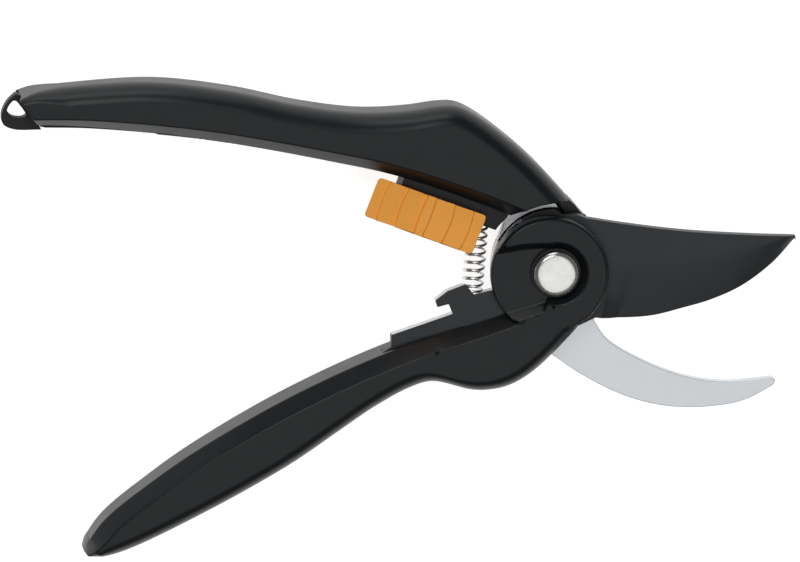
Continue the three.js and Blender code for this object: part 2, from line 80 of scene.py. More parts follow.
BOSS_R = 14.75 * MM
BOSS_AT = (-1.45 * MM, -0.45 * MM)
BUSH_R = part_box("pivot_bush")[1].x
LOCK_AT = Matrix.Translation((-32.8 * MM, 15.4 * MM, 0)) @ Matrix.Rotation(math.radians(-21.4), 4, "Z")
SPRING_FOOT = Vector((-20.2, -5.9, 8.9)) * MM
SPRING_HEAD = Vector((-18.4, 16.4, 8.9)) * MM
LEAN_EDGE = 0.3 * MM
LEAN_TOP = 0.18
LEAN_END = 0.2
END_WALL_LOW = 7.6 * MM
LOOP_INTO_HANDLE = 3.2 * MM
SPAN = 24
ABOVE_ALL = 30 * MM
BACK_CHAMFER = 0.8 * MM
SPRING_ROOM_R = 3.12 * MM
SQUARE_FROM = -136 * MM
SQUARE_OVER = 14 * MM

# Outlines in plan, in millimetres.
UPPER_TOP = [
    (-134.4, 47.6), (-130.3, 49.1), (-119.2, 50.2), (-100.1, 50.7), (-80.9, 48), (-63.6, 43.9),
    (-48.7, 41.7), (-36.6, 41.9), (-28.7, 42.9), (-24.8, 42.8), (-20.5, 40.9), (-7.1, 30.1),
    (5.6, 15.9),
]
UPPER_NOSE = (8.5, 12.1)
UPPER_INNER = [
    (-38.8, 25.2), (-56.2, 29.6), (-87.1, 35.9), (-116, 39.4), (-129.2, 40),
]
UPPER_INNER_END = (-10.5, 14.3)
LOWER_INNER = [
    (-118.8, -68.2), (-113.6, -60.9), (-101.5, -51.2), (-89.9, -43.3), (-66.8, -30.4),
    (-40.7, -19.1), (-12.7, -10.8),
]
LOWER_OUTER = [
    (-114.9, -70.4), (-109.1, -69.3), (-90, -60.6), (-66.9, -48), (-54.2, -39.5), (-45.2, -33.5),
    (-36.2, -28.8), (-30.8, -27.5), (-21, -30.1), (-16.9, -30.4), (-11.5, -29.5), (-5.6, -26.3),
    (4.3, -16.9), (10, -9.9),
]
HOOK_INNER = [
    (10.8, -14.3), (14, -19), (23.2, -24.8), (33.5, -29), (43.8, -30.8), (56.1, -30.1),
]
HOOK_TIP = (56.9, -30.9)
HOOK_OUTER = [
    (56.2, -32.1), (48.6, -35.8), (38.3, -37.2), (28, -36.5), (17.7, -33.4), (7.5, -27.9),
    (0.2, -22.7), (-7, -17.4),
]
HOOK_TANG = [
    (-13.9, 7), (-12.2, 11.6), (-13.5, 15.8), (-17, 21), (-25.1, 26.8), (-37.2, 31.4),
    (-39.2, 32.9), (-38.8, 36.8), (-37.2, 37.6), (-24.1, 36.2), (-11, 27), (1, 16.2), (2.8, 13.3),
]
BLADE_SPINE = [
    (8.2, 13), (17.3, 11.3), (32.7, 9), (50, 7.5), (61.2, 6.9),
]
BLADE_EDGE = [
    (61.4, 6.1), (55.8, -0.1), (48.1, -5.8), (40.4, -9.2), (32.6, -11.3), (24.8, -13),
    (15.1, -13.2), (10.6, -12.6),
]
BLADE_TANG = [
    (2.7, -16.2), (-5.3, -21.2), (-11.4, -24), (-29.5, -23.6), (-45.6, -28.7), (-50.7, -29.4),
    (-51.7, -27.6), (-47.7, -23), (-41, -18.6), (-41, -15.6), (-25.5, -10.6), (-26.5, -8.1),
    (-29.4, -8.8), (-29.9, -7), (-26.8, -4.7), (-22.3, -3.1), (-20.2, -5.8), (-14.4, -4.5),
]
BLADE_SHOULDER = [
    (0, 4), (9, 4), (8.2, 13), (6.2, 13.9), (1.2, 13.9), (-3.3, 13.6),
]
EYE_RELIEF = [
    (11, -10.5), (20, 2), (20, 30), (1.2, 30), (1.2, 14.6), (2.7, 13.5), (6, 13.4), (8, 12.5),
    (13.6, 6),
]
HOOK_RELIEF = [
    (20, -2), (20, 30), (1.1, 30), (1.1, 15.8), (2.9, 13.1), (7.5, 11.5), (13, 6),
]
NOSE = [
    (0.8, 18.8), (3, 18.3), (5.7, 15.8), (8.4, 12.3), (3.4, 13.2), (1.4, 16),
]
LOOP_OUTER = [
    (-128.4, 38.9), (-135.5, 39.2), (-138, 40.5), (-138.4, 42.9), (-137.1, 46), (-134.8, 48.3),
]
LOOP_HOLE = [
    (-132.1, 42.7), (-133.1, 42.1), (-135.7, 42.4), (-137, 43.8), (-136.2, 45.7), (-135.1, 46.5),
    (-133.6, 45),
]
LOOP_BOX = [
    (-150, 32.9), (-129.3, 32.3), (-134.4, 50.9), (-150, 51.3),
]
UPPER_INSERT_TOP = [
    (-130.9, 46.1), (-119.8, 46), (-100.6, 45.3), (-81.5, 42.7), (-55.3, 37.6), (-39.2, 34.5),
    (-23.1, 27.3), (-12.5, 17.4),
]
LOWER_INSERT = [
    (-109.2, -60.2), (-101.5, -55.1), (-89.9, -47.8), (-66.8, -35.2), (-44.2, -25.1),
    (-44.2, -21.2), (-66.8, -31.3), (-89.9, -44), (-101.5, -51.8), (-109.2, -58.2),
]
FRONT_OPENING = [
    (-0.2, 18.5), (5.6, 17.8), (30, 17.8), (30, -30), (-0.2, -30),
]
BACK_NECK = [
    (-11.5, 9), (-12.9, 14.5), (-16, 17.8), (3.2, 18.2), (9.6, 11.2),
]

# ---------------------------------------------------------------- lines and blocks


def smooth(points):
    """A smooth line in metres through points given in millimetres."""
    pts = [Vector((x, y, 0)) * MM for x, y in points]
    ends = [2 * pts[0] - pts[1], *pts, 2 * pts[-1] - pts[-2]]
    line = [pts[0]]
    for a, b, c, d in zip(ends, ends[1:], ends[2:], ends[3:]):
        p, q, r = (math.sqrt((n - m).length) for m, n in ((a, b), (b, c), (c, d)))
        leave = (p * p * c - q * q * a + (2 * p * p + 3 * p * q + q * q) * b) / (3 * p * (p + q))
        arrive = (r * r * b - q * q * d + (2 * r * r + 3 * r * q + q * q) * c) / (3 * r * (r + q))
        line += interpolate_bezier(b, leave, arrive, c, SPAN + 1)[1:]
    return line


def straight(points):
    return [Vector((x, y, 0)) * MM for x, y in points]


def even(line, count):
    """The same line as count + 1 evenly spaced points."""
    lengths = [0.0]
    for a, b in zip(line, line[1:]):
        lengths.append(lengths[-1] + (b - a).length)
    out, i = [], 0
    for k in range(count + 1):
        at = lengths[-1] * k / count
        while i < len(line) - 2 and lengths[i + 1] < at:
            i += 1
        span = lengths[i + 1] - lengths[i]
        out.append(line[i].lerp(line[i + 1], (at - lengths[i]) / span if span else 0.0))
    return out


def circle(r, count=96, at=(0, 0), start=0.0, end=360.0):
    steps = count if end - start == 360.0 else count - 1
    angles = [math.radians(start + (end - start) * i / steps) for i in range(count)]
    return [Vector((at[0] + r * math.cos(a), at[1] + r * math.sin(a), 0)) for a in angles]


def piece_from(name, bm):
    """Turns a bmesh into a named object in the scene."""
    bmesh.ops.recalc_face_normals(bm, faces=bm.faces)
    mesh = bpy.data.meshes.new(name)
    bm.to_mesh(mesh)
    bm.free()
    piece = bpy.data.objects.new(name, mesh)
    bpy.context.scene.collection.objects.link(piece)
    return piece


def block(outline, low, high, name="block"):
    """A closed block drawn up from an outline."""
    bm = bmesh.new()
    face = bm.faces.new([bm.verts.new((p.x, p.y, low)) for p in outline])
    made = bmesh.ops.extrude_face_region(bm, geom=[face])["geom"]
    raised = [g for g in made if isinstance(g, bmesh.types.BMVert)]
    bmesh.ops.translate(bm, vec=(0, 0, high - low), verts=raised)
    return piece_from(name, bm)


def loft(rings, name="loft"):
    """A closed skin drawn out from ring to ring."""
    bm = bmesh.new()
    row = [bm.verts.new(p) for p in rings[0]]
    edges = [bm.edges.new((row[i - 1], row[i])) for i in range(len(row))]
    for ring in rings[1:]:
        made = bmesh.ops.extrude_edge_only(bm, edges=edges)["geom"]
        drawn = {g for g in made if isinstance(g, bmesh.types.BMVert)}
        above = {e.other_vert(v): v for v in drawn for e in v.link_edges if e.other_vert(v) not in drawn}
        row = [above[v] for v in row]
        for vert, place in zip(row, ring):
            vert.co = place
        edges = [g for g in made if isinstance(g, bmesh.types.BMEdge) and set(g.verts) <= drawn]
    bmesh.ops.holes_fill(bm, edges=[e for e in bm.edges if e.is_boundary], sides=0)
    return piece_from(name, bm)


def turned(profile, name, steps=96, at=(0, 0)):
    """A round piece, spun from (radius, height) points that begin and end on the axis."""
    bm = bmesh.new()
    verts = [bm.verts.new((at[0] + r, at[1], z)) for r, z in profile]
    edges = [bm.edges.new(pair) for pair in zip(verts, verts[1:])]
    bmesh.ops.spin(
        bm, geom=verts + edges, cent=(*at, 0), axis=(0, 0, 1), angle=math.tau, steps=steps, use_merge=True
    )
    bmesh.ops.remove_doubles(bm, verts=bm.verts, dist=1e-6)
    return piece_from(name, bm)


def settle(piece):
    """Makes a piece's modifiers part of its mesh."""
    bpy.context.view_layer.update()
    shaped = piece.evaluated_get(bpy.context.evaluated_depsgraph_get())
    mesh = bpy.data.meshes.new_from_object(shaped)
    piece.modifiers.clear()
    old, piece.data = piece.data, mesh
    bpy.data.meshes.remove(old)


def combine(piece, how, *tools):
    """Joins tools to a piece, or cuts them from it."""
    for tool in tools:
        step = piece.modifiers.new("combine", "BOOLEAN")
        step.operation, step.solver, step.object = how, "EXACT", tool
        settle(piece)
        bpy.data.objects.remove(tool)
    return piece


def add(piece, *tools):
    return combine(piece, "UNION", *tools)


def cut(piece, *tools):
    return combine(piece, "DIFFERENCE", *tools)


def place(piece, matrix):
    piece.data.transform(matrix)
    return piece


def finished(piece, name, body, slot, replaced, softness=0.0, rounds=2, sharp=32.0, merge=0.03):
    """Names a piece, softens its edges, and gives it its finish and its place on the frame."""
    bm = bmesh.new()
    bm.from_mesh(piece.data)
    bmesh.ops.remove_doubles(bm, verts=bm.verts, dist=merge * MM)
    bmesh.ops.dissolve_degenerate(bm, edges=bm.edges, dist=0.01 * MM)
    for face in bm.faces:
        face.smooth = True
    bm.to_mesh(piece.data)
    bm.free()
    piece.name = piece.data.name = name
    if softness:
        soft = piece.modifiers.new("soft edges", "BEVEL")
        soft.width, soft.segments, soft.limit_method = softness, rounds, "ANGLE"
        soft.angle_limit, soft.use_clamp_overlap = math.radians(sharp), False
        soft.miter_outer = "MITER_ARC"
    else:
        piece.data.set_sharp_from_angle(angle=math.radians(sharp))
    even_out = piece.modifiers.new("face normals", "WEIGHTED_NORMAL")
    even_out.keep_sharp = True
    piece.data.materials.clear()
    piece.data.materials.append(finish(slot))
    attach(piece, body)
    if replaced:
        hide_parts(replaced)
    return piece


# ---------------------------------------------------------------- finishes

# For each finish: its colour property, metalness, roughness, and how its grain lies: size,
# how far it is drawn out along X, contrast, height, and how far the roughness strays.
FINISHES = {
    "handle_plastic": ("handle", 0.0, 0.34, 0.35, 1.0, 0.10, 0.010, 0.10),
    "core_plastic": ("core", 0.0, 0.50, 0.30, 1.0, 0.10, 0.010, 0.08),
    "bare_blade_steel": ("steel", 1.0, 0.48, 0.16, 14.0, 0.10, 0.004, 0.14),
    "coated_blade_steel": ("coating", 0.0, 0.42, 0.12, 1.0, 0.22, 0.008, 0.10),
    "polished_steel": ("bolt", 1.0, 0.24, 2.4, 1.0, 0.14, 0.010, 0.10),
    "plated_steel": ("steel", 1.0, 0.32, 0.40, 1.0, 0.08, 0.003, 0.10),
    "pin_steel": ("steel", 1.0, 0.30, 0.30, 1.0, 0.08, 0.003, 0.08),
    "spring_steel": ("wire", 1.0, 0.24, 0.25, 1.0, 0.10, 0.002, 0.10),
    "washer_plastic": ("core", 0.0, 0.45, 0.25, 1.0, 0.10, 0.006, 0.08),
    "orange_plastic": ("lock", 0.0, 0.42, 0.30, 1.0, 0.07, 0.010, 0.08),
}


# Finishes whose plates get a painted highlight, in steel colour, along the steep sides of the tang.
EDGE_HIGHLIGHT_SLOTS = ("coated_blade_steel",)


def paint_edge_highlight(made, coat, grain):
    """Paints a highlight on the steep sides of a coated plate's tang, in speckled steel colour with full
    metalness, standing in for the light those edges catch.
    """
    nodes, links = made.node_tree.nodes, made.node_tree.links
    shader = nodes["Principled BSDF"]
    facing = nodes.new("ShaderNodeNewGeometry")
    upright = nodes.new("ShaderNodeSeparateXYZ")
    links.new(facing.outputs["True Normal"], upright.inputs[0])
    steep = nodes.new("ShaderNodeMath")
    steep.operation = "ABSOLUTE"
    links.new(upright.outputs["Z"], steep.inputs[0])
    side = nodes.new("ShaderNodeMapRange")
    side.inputs["From Min"].default_value, side.inputs["From Max"].default_value = 0.30, 0.15
    links.new(steep.outputs[0], side.inputs["Value"])
    highlight_mask = nodes.new("ShaderNodeMath")
    highlight_mask.operation = "MULTIPLY"
    links.new(side.outputs["Result"], highlight_mask.inputs[0])
    patchy = nodes.new("ShaderNodeMapRange")
    patchy.inputs["From Min"].default_value, patchy.inputs["From Max"].default_value = 0.36, 0.46
    links.new(grain, patchy.inputs["Value"])
    where = nodes.new("ShaderNodeTexCoord")
    along = nodes.new("ShaderNodeSeparateXYZ")
    links.new(where.outputs["Object"], along.inputs[0])
    on_tang = patchy.outputs["Result"]
    # The painted highlight is kept to the tang, between x = -40.9 mm and -8 mm.
    for operation, limit in (("LESS_THAN", -8 * MM), ("GREATER_THAN", -40.9 * MM)):
        test = nodes.new("ShaderNodeMath")
        test.operation = operation
        test.inputs[1].default_value = limit
        links.new(along.outputs["X"], test.inputs[0])
        both = nodes.new("ShaderNodeMath")
        both.operation = "MULTIPLY"
        links.new(on_tang, both.inputs[0])
        links.new(test.outputs[0], both.inputs[1])
        on_tang = both.outputs[0]
    links.new(on_tang, highlight_mask.inputs[1])
    # Mixes the coat towards steel colour and metalness where the painted highlight falls.
    highlight_mix = nodes.new("ShaderNodeMix")
    highlight_mix.data_type = "RGBA"
    links.new(highlight_mask.outputs[0], highlight_mix.inputs["Factor"])
    links.new(coat, highlight_mix.inputs[6])
    colour = bpy.context.scene.shears_colours.steel
    highlight_mix.inputs[7].default_value = (*colour, 1.0)
    links.new(highlight_mix.outputs[2], shader.inputs["Base Color"])
    links.new(highlight_mask.outputs[0], shader.inputs["Metallic"])


def finish(slot):
    """The material of a slot, made once, with a grain, broad mottling and a fine relief."""
    name = slot + "_finish"
    if name in bpy.data.materials:
        return bpy.data.materials[name]
    colour_name, metal, rough, size, drawn, contrast, height, stray = FINISHES[slot]
    colour = [*getattr(bpy.context.scene.shears_colours, colour_name), 1.0]
    made = bpy.data.materials.new(name)
    made.use_nodes = True
    nodes, links = made.node_tree.nodes, made.node_tree.links
    shader = nodes["Principled BSDF"]
    shader.inputs["Metallic"].default_value = metal
    shader.inputs["IOR"].default_value = 1.45
    shader.inputs["Specular IOR Level"].default_value = 0.5 if metal else 0.28
    where = nodes.new("ShaderNodeTexCoord")
    turn = nodes.new("ShaderNodeMapping")
    turn.inputs["Scale"].default_value = (1 / drawn, 1, 1)
    links.new(where.outputs["Object"], turn.inputs["Vector"])
    grain = nodes.new("ShaderNodeTexNoise")
    grain.inputs["Scale"].default_value = 1 / (size * MM)
    grain.inputs["Detail"].default_value = 4
    links.new(turn.outputs["Vector"], grain.inputs["Vector"])
    mottle = nodes.new("ShaderNodeTexNoise")
    mottle.inputs["Scale"].default_value = 1 / (9 * MM)
    mottle.inputs["Detail"].default_value = 3
    links.new(where.outputs["Object"], mottle.inputs["Vector"])
    blend = nodes.new("ShaderNodeMath")
    blend.operation = "MULTIPLY_ADD"
    blend.inputs[1].default_value = 0.6
    links.new(grain.outputs["Fac"], blend.inputs[0])
    share = nodes.new("ShaderNodeMath")
    share.operation = "MULTIPLY"
    share.inputs[1].default_value = 0.4
    links.new(mottle.outputs["Fac"], share.inputs[0])
    links.new(share.outputs[0], blend.inputs[2])
    tint = nodes.new("ShaderNodeValToRGB")
    tint.color_ramp.elements[0].position, tint.color_ramp.elements[1].position = 0.3, 0.7
    tint.color_ramp.elements[0].color = [c * (1 - contrast) for c in colour[:3]] + [1]
    tint.color_ramp.elements[1].color = [min(1, c * (1 + contrast)) for c in colour[:3]] + [1]
    links.new(blend.outputs[0], tint.inputs["Fac"])
    # A coated plate gets a painted highlight along the steep sides of its tang.
    if slot in EDGE_HIGHLIGHT_SLOTS:
        paint_edge_highlight(made, tint.outputs["Color"], grain.outputs["Fac"])
    else:
        links.new(tint.outputs["Color"], shader.inputs["Base Color"])
    gloss = nodes.new("ShaderNodeMapRange")
    gloss.inputs["From Min"].default_value, gloss.inputs["From Max"].default_value = 0.3, 0.7
    gloss.inputs["To Min"].default_value = rough - stray / 2
    gloss.inputs["To Max"].default_value = rough + stray / 2
    links.new(blend.outputs[0], gloss.inputs["Value"])
    links.new(gloss.outputs["Result"], shader.inputs["Roughness"])
    relief = nodes.new("ShaderNodeBump")
    relief.inputs["Strength"].default_value = 0.6
    relief.inputs["Distance"].default_value = height * MM
    links.new(grain.outputs["Fac"], relief.inputs["Height"])
    links.new(relief.outputs["Normal"], shader.inputs["Normal"])
    return made


# ---------------------------------------------------------------- handles


def taper(x):
    """How far a handle's faces have come in towards the middle at x."""
    t = min(1, max(0, (-60 * MM - x) / (75 * MM)))
    return END_TAPER * t * t


def drop(x):
    t = min(1, max(0, (x + 40 * MM) / (26 * MM)))
    return BOSS_DROP * t * t * (3 - 2 * t)


def handle_section(inner, outer, round_w, boss_front, sizes, flat=1.0):
    """One ring round a handle, from its inner edge to its outer edge and back."""
    x = (inner.x + outer.x) / 2
    high = HANDLE_HIGH - taper(x) - (drop(x) if boss_front else 0)
    low = HANDLE_LOW + taper(x) + (0 if boss_front else drop(x))
    high, low = MID_Z + (high - MID_Z) * flat, MID_Z + (low - MID_Z) * flat
    across = outer - inner
    width = across.length
    across.normalize()
    fit = min(1.0, width / (sizes.chamfer + round_w + MM))
    squarer = min(1.0, max(0.35, (x - SQUARE_FROM) / SQUARE_OVER))
    chamfer, round_w = sizes.chamfer * fit, round_w * fit * squarer
    chamfer_deep, round_deep = sizes.chamfer_deep * flat, sizes.round_deep * flat * squarer
    front = [(0, high - chamfer_deep), (chamfer, high)]
    for i in range(9):
        a = i / 8 * math.pi / 2
        front.append((width - round_w * (1 - math.sin(a)), high - round_deep * (1 - math.cos(a))))
    back = [(s, low + high - z) for s, z in reversed(front)]
    return [inner + across * s + Vector((0, 0, z)) for s, z in front + back]


def handle_skin(inner_runs, outer_runs, counts, round_w, boss_front, sizes, extra=()):
    """The whole handle as a loft. Runs are matched stretches of its two edges."""
    rings = [handle_section(i, o, round_w, boss_front, sizes, flat) for i, o, flat in extra]
    for inner, outer, count in zip(inner_runs, outer_runs, counts):
        pairs = list(zip(even(inner, count), even(outer, count)))
        rings += [handle_section(i, o, round_w, boss_front, sizes) for i, o in pairs[1 if rings else 0 :]]
    return loft(rings)


def hook_blocks(low, high):
    """The hook's eye, jaw and tang as separate blocks."""
    jaw = even(smooth(HOOK_INNER), 48) + straight([HOOK_TIP]) + even(smooth(HOOK_OUTER), 52)
    jaw += straight([(-6, -4), (6, 4)])
    tang = straight([*HOOK_TANG, (4, 4), (-8, 0)])
    eye = cut(block(circle(HOOK_EYE_R, 128), low, high), block(straight(HOOK_RELIEF), low - MM, high + MM))
    return [eye, block(jaw, low, high), block(tang, low, high)]


def blade_solid(low, high):
    """The cutting blade and its tang as one block, before grinding."""
    plan = even(smooth(BLADE_SPINE), 40) + even(smooth(BLADE_EDGE), 56) + straight([*BLADE_TANG, (-4, 12)])
    eye = cut(block(circle(EYE_R, 128), low, high), block(straight(EYE_RELIEF), low - MM, high + MM))
    return add(eye, block(plan, low, high), block(straight(BLADE_SHOULDER), low, high))


def core_blocks(low, high):
    """The upper handle's core with its hanging loop, and the rail that the lock slides on."""
    plan = even(smooth(LOOP_OUTER), 40)[::-1] + even(smooth(UPPER_INNER), 60)[::-1]
    plan += straight([UPPER_INNER_END]) + even(smooth(UPPER_INSERT_TOP), 40)[::-1]
    rail = straight([(-8.1, 9.4), (-8.1, 0.2), (3.4, 0.2), (5.4, 2.2), (20, 2.2), (20, 9.4)])
    return [block(plan, low, high), place(block(rail, low, high), LOCK_AT)]


def recess_tool():
    """The round recess with sloped walls that opens towards the handle's inner side."""
    rings = []
    for z, r, low, high in (
        (RECESS_FLOOR, 6.5,
         [(-2.2, -7.4), (-14.2, -10.6), (-30, -14.6)], [(-30, 3), (-14.2, 5.2), (-8, 6.1)]),
        (BOSS_HIGH, 8.1,
         [(-3.4, -9.8), (-15.2, -13.3), (-30, -18.3)], [(-30, 5), (-14.2, 6.9), (-8, 7.9)]),
    ):
        arc = circle(r * MM, 44, start=-108, end=98)
        rings.append([Vector((p.x, p.y, z)) for p in arc + straight(high[::-1]) + straight(low[::-1])])
    rings.append([b + (b - a) * 1.5 for a, b in zip(*rings)])
    return loft(rings)


class ShearsSizes(bpy.types.PropertyGroup):
    chamfer: FloatProperty(
        name="Inner chamfer", description="Width of the flat along the handles' inner edges",
        default=3.3 * MM, unit="LENGTH",
    )
    chamfer_deep: FloatProperty(
        name="Chamfer depth", description="Depth of that flat",
        default=4.5 * MM, unit="LENGTH",
    )
    round_deep: FloatProperty(
        name="Rounding depth", description="Depth of the handles' rounded outer edges",
        default=6.5 * MM, unit="LENGTH",
    )
    upper_round: FloatProperty(
        name="Upper rounding", description="Width of the upper handle's rounded edge",
        default=5.0 * MM, unit="LENGTH",
    )
    lower_round: FloatProperty(
        name="Lower rounding", description="Width of the lower handle's rounded edge",
        default=4.5 * MM, unit="LENGTH",
    )
    moulded_edge: FloatProperty(
        name="Moulded edge", description="Softness of the plastic pieces' edges",
        default=0.35 * MM, unit="LENGTH",
    )
    plate_edge: FloatProperty(
        name="Plate edge", description="Softness of the steel plates' edges",
        default=0.18 * MM, unit="LENGTH",
    )
    grind: FloatProperty(
        name="Grind depth", description="How far the cutting edge is ground back",
        default=2.3 * MM, unit="LENGTH",
    )
    wire: FloatProperty(
        name="Spring wire", description="Radius of the opening spring's wire",
        default=0.36 * MM, unit="LENGTH",
    )
    coil: FloatProperty(
        name="Spring coil", description="Radius of the opening spring at its wire's middle",
        default=2.4 * MM, unit="LENGTH",
    )
    scallop: FloatProperty(
        name="Scallop depth", description="Depth of the steps on the lock",
        default=0.8 * MM, unit="LENGTH",
    )


def colour(name, description, r, g, b):
    return FloatVectorProperty(
        name=name, description=description, subtype="COLOR", size=3, min=0, max=1, default=(r, g, b),
    )


class ShearsColours(bpy.types.PropertyGroup):
    handle: colour("Handles", "Colour of the handle mouldings", 0.0062, 0.0076, 0.0090)
    core: colour("Cores", "Colour of the loop and the rail", 0.011, 0.011, 0.011)
    coating: colour("Blade coating", "Colour of the cutting blade's coating", 0.025, 0.028, 0.031)
    steel: colour("Bare steel", "Colour of the hook", 0.66, 0.68, 0.70)
    bolt: colour("Bolt", "Colour of the bolt head", 0.58, 0.58, 0.56)
    wire: colour("Springs", "Colour of the spring wire", 0.62, 0.62, 0.62)
    lock: colour("Lock", "Colour of the lock slider", 0.93, 0.39, 0.055)


class SHEARS_OT_upper_handle(bpy.types.Operator):
    """Build the upper handle moulding"""

    bl_idname = "shears.upper_handle"
    bl_label = "Upper Handle"

    def execute(self, context):
        sizes = context.scene.shears_sizes
        outer = smooth([*UPPER_TOP, UPPER_NOSE])
        inner = smooth([*UPPER_INNER[::-1], UPPER_INNER_END, (3, 7)])
        outer_knot, inner_knot = 7 * SPAN, 4 * SPAN
        handle = handle_skin(
            [inner[: inner_knot + 1], inner[inner_knot:]],
            [outer[: outer_knot + 1], outer[outer_knot:]],
            (64, 44), sizes.upper_round, False, sizes,
        )
        cut(
            handle, block(circle(SWEEP_R, 160), -MM, ABOVE_ALL),
            block(straight(FRONT_OPENING), MID_Z, ABOVE_ALL),
        )
        back_boss = turned(
            [
                (0, HOOK_LOW), (BOSS_R, HOOK_LOW), (BOSS_R, BOSS_DROP + BACK_CHAMFER),
                (BOSS_R - BACK_CHAMFER, BOSS_DROP), (0, BOSS_DROP),
            ],
            "boss", 128,
        )
        neck = block(straight(BACK_NECK), BOSS_DROP, HOOK_LOW)
        add(handle, back_boss, neck, block(straight(NOSE), BOSS_DROP, HOOK_HIGH))
        flats = circle((NUT_HIGH.y + GAP) / math.cos(math.pi / 6), 6)
        cut(handle, block(flats, -MM, NUT_HIGH.z + 1.2 * MM), block(circle(BUSH_R, 64), -MM, HOOK_LOW + MM))
        cut(
            handle, *hook_blocks(HOOK_LOW - GAP, HOOK_HIGH + GAP),
            *core_blocks(CORE_LOW - GAP, CORE_HIGH + GAP),
        )
        finished(
            handle, "upper_handle_moulding", "upper_body", "handle_plastic", "upper_handle",
            sizes.moulded_edge,
        )
        return {"FINISHED"}


class SHEARS_OT_lower_handle(bpy.types.Operator):
    """Build the lower handle moulding with its boss and recess"""

    bl_idname = "shears.lower_handle"
    bl_label = "Lower Handle"

    def execute(self, context):
        sizes = context.scene.shears_sizes
        inner = smooth([*LOWER_INNER, (-2, -6)])
        outer = smooth(LOWER_OUTER)
        inner_knot, outer_knot = 5 * SPAN, 6 * SPAN
        tip = [(*straight([(-118.7, -69), (-117.2, -70.2)]), 0.72)]
        handle = handle_skin(
            [inner[: inner_knot + 1], inner[inner_knot:]],
            [outer[: outer_knot + 1], outer[outer_knot:]],
            (60, 40), sizes.lower_round, True, sizes, tip,
        )
        cut(handle, block(circle(SWEEP_R, 160), -MM, CUT_LOW))
        boss = turned(
            [(0, CUT_HIGH), (BOSS_R, CUT_HIGH), (BOSS_R, BOSS_HIGH - 0.9 * MM),
             (BOSS_R - 0.25 * MM, BOSS_HIGH - 0.35 * MM),
             (BOSS_R - 0.9 * MM, BOSS_HIGH), (0, BOSS_HIGH)],
            "boss", 160, BOSS_AT,
        )
        add(handle, boss)
        cut(handle, recess_tool(), block(circle(BUSH_R, 64), -MM, ABOVE_ALL))
        cut(
            handle, blade_solid(CUT_LOW - GAP, CUT_HIGH + GAP),
            *hook_blocks(HOOK_LOW - GAP, HOOK_HIGH + GAP),
        )
        cut(handle, block(straight(LOWER_INSERT), CORE_LOW - GAP, CORE_HIGH + GAP))
        finished(
            handle, "lower_handle_moulding", "lower_body", "handle_plastic", "lower_handle",
            sizes.moulded_edge, merge=0.06,
        )
        return {"FINISHED"}


class SHEARS_OT_cores(bpy.types.Operator):
    """Build the cores of both handles, with the hanging loop and the lock's rail"""

    bl_idname = "shears.cores"
    bl_label = "Handle Cores"

    def execute(self, context):
        sizes = context.scene.shears_sizes
        core, rail = core_blocks(CORE_LOW, CORE_HIGH)
        add(core, rail)
        hole = even(smooth([*LOOP_HOLE, LOOP_HOLE[0]]), 40)[:-1]
        loop_room = [p + Vector((LOOP_INTO_HANDLE, 0, 0)) for p in straight(LOOP_BOX)]
        cut(
            core,
            block(loop_room, CORE_HIGH - 2.6 * MM, ABOVE_ALL),
            block(loop_room, -MM, CORE_LOW + 2.6 * MM),
            block(hole, -MM, ABOVE_ALL),
            block(circle(SWEEP_R, 160), -MM, ABOVE_ALL),
            *hook_blocks(HOOK_LOW - GAP, HOOK_HIGH + GAP),
            spring_room(0.2, 1.03),
        )
        finished(core, "upper_core", "upper_body", "core_plastic", "upper_insert", sizes.moulded_edge)
        lower = block(straight(LOWER_INSERT), CORE_LOW, CORE_HIGH)
        cut(lower, blade_solid(CUT_LOW - GAP, CUT_HIGH + GAP))
        finished(lower, "lower_core", "lower_body", "core_plastic", "lower_insert", sizes.plate_edge)
        return {"FINISHED"}


def spring_room(start, end):
    """The round pocket round the opening spring."""
    way = SPRING_HEAD - SPRING_FOOT
    deep = way.length * (end - start)
    pocket = turned([(0, 0), (SPRING_ROOM_R, 0), (SPRING_ROOM_R, deep), (0, deep)], "pocket", 64)
    turn = way.to_track_quat("Z", "Y").to_matrix().to_4x4()
    return place(pocket, Matrix.Translation(SPRING_FOOT + way * start) @ turn)


class SHEARS_OT_blades(bpy.types.Operator):
    """Build the hook and the ground cutting blade"""

    bl_idname = "shears.blades"
    bl_label = "Blades"

    def execute(self, context):
        sizes = context.scene.shears_sizes
        eye, jaw, tang = hook_blocks(HOOK_LOW, HOOK_HIGH)
        hook = add(eye, jaw, tang)
        cut(hook, block(circle(BUSH_R + GAP, 64), -MM, ABOVE_ALL))
        finished(hook, "hook_plate", "upper_body", "bare_blade_steel", "hook_blade", 0.25 * MM)
        blade = blade_solid(CUT_LOW, CUT_HIGH)
        cut(
            blade, block(circle(BUSH_R + GAP, 64), -MM, ABOVE_ALL), spring_room(-0.035, 0.4),
            self.grind_tool(sizes),
        )
        finished(
            blade, "cutting_plate", "lower_body", "coated_blade_steel", "cutting_blade",
            sizes.plate_edge, 2, 24.0,
        )
        return {"FINISHED"}

    def grind_tool(self, sizes):
        """What the grinding takes off the front, from a step near the boss to the tip."""
        top = even(smooth([(18.2, 3), (30, 3.4), (43, 4.6), (55, 6.4), (64, 8.4)]), 30)
        edge = [
            (14.6, -12.9), (24.8, -12.9), (32.6, -11.2), (40.3, -8.8), (48, -5.4), (55.7, 0.3), (63, 8),
        ]
        edge = even(smooth(edge), 30)
        rings = []
        for i, (a, b) in enumerate(zip(top, edge)):
            shift = (b - a) * 0.15
            depth = 0.0 if i == 0 else sizes.grind
            lift = Vector((0, 0, CUT_HIGH))
            ring = [a + lift + Vector((0, 0, 0.02 * MM))]
            for t in (0.25, 0.5, 0.75, 1.0, 1.15):
                ring.append(a.lerp(b, t) + lift - Vector((0, 0, depth * t ** 1.25)))
            ring += [b + shift + lift + Vector((0, 0, 2 * MM)), a + lift + Vector((0, 0, 2 * MM))]
            rings.append(ring)
            if i == 0:
                rings[0] = [p + Vector((-2.6 * MM, 0, 0)) for p in rings[0]]
        return loft(rings)


